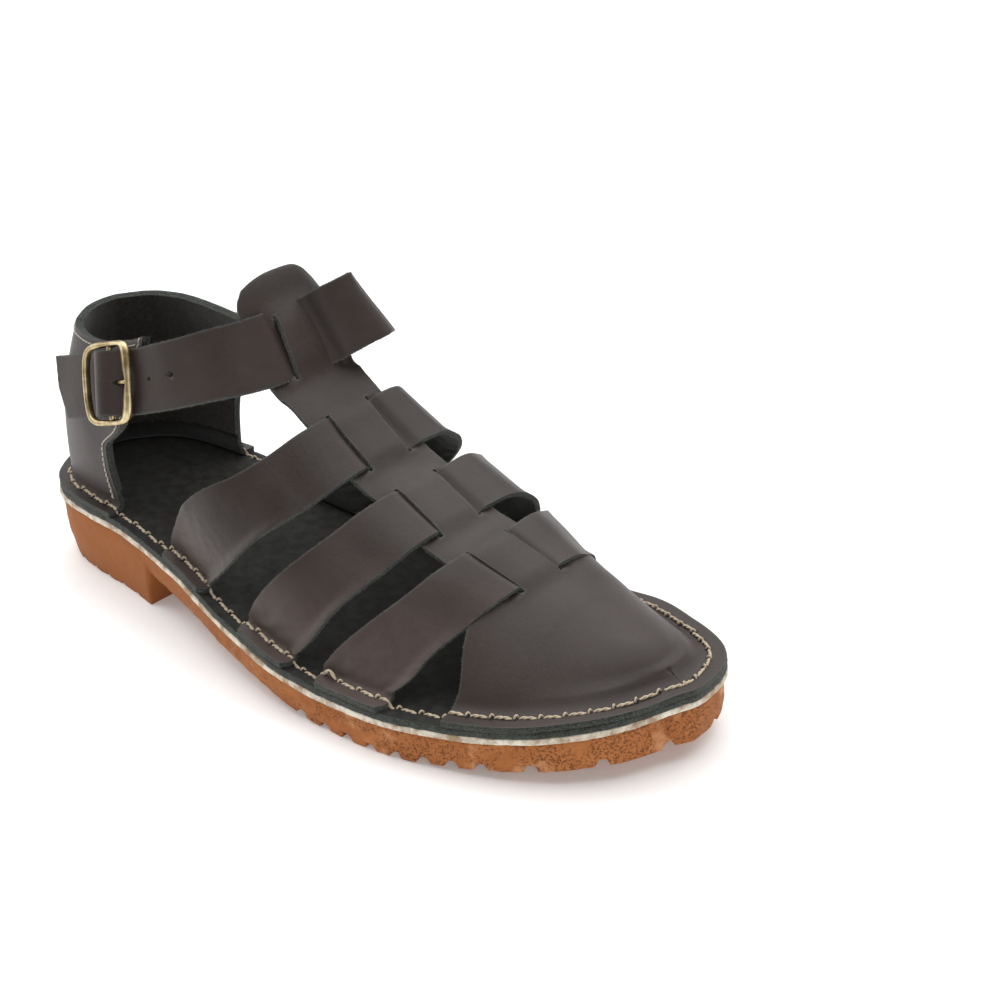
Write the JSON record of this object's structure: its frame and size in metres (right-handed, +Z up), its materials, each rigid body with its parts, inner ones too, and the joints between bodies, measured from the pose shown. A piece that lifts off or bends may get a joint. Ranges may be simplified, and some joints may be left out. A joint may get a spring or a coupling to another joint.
{
  "type": "huarache sandal",
  "caption": "Closed-toe leather sandal with woven cross straps, buckled ankle strap, stitched-down flange and lugged rubber sole, right shoe.",
  "frame": {"origin": "middle of the length and of the width, on the floor under the shoe", "axes": "+X to the toe, +Y to the inner (medial) side, +Z up"},
  "size_m": [0.2742, 0.1048, 0.1169],
  "materials": {
    "outsole_rubber": "matt, slightly pitted",
    "midsole_cream": "matt, rough edge",
    "insole_leather": "smooth dark leather",
    "upper_leather": "satin, fine grain",
    "buckle_brass": "antique, worn bright on the edges"
  },
  "bodies": {
    "root": {"outsole": "outsole_rubber", "midsole": "midsole_cream", "insole": "insole_leather", "upper": "upper_leather", "buckle_frame": "buckle_brass", "buckle_prong": "buckle_brass"}
  },
  "joints": []
}
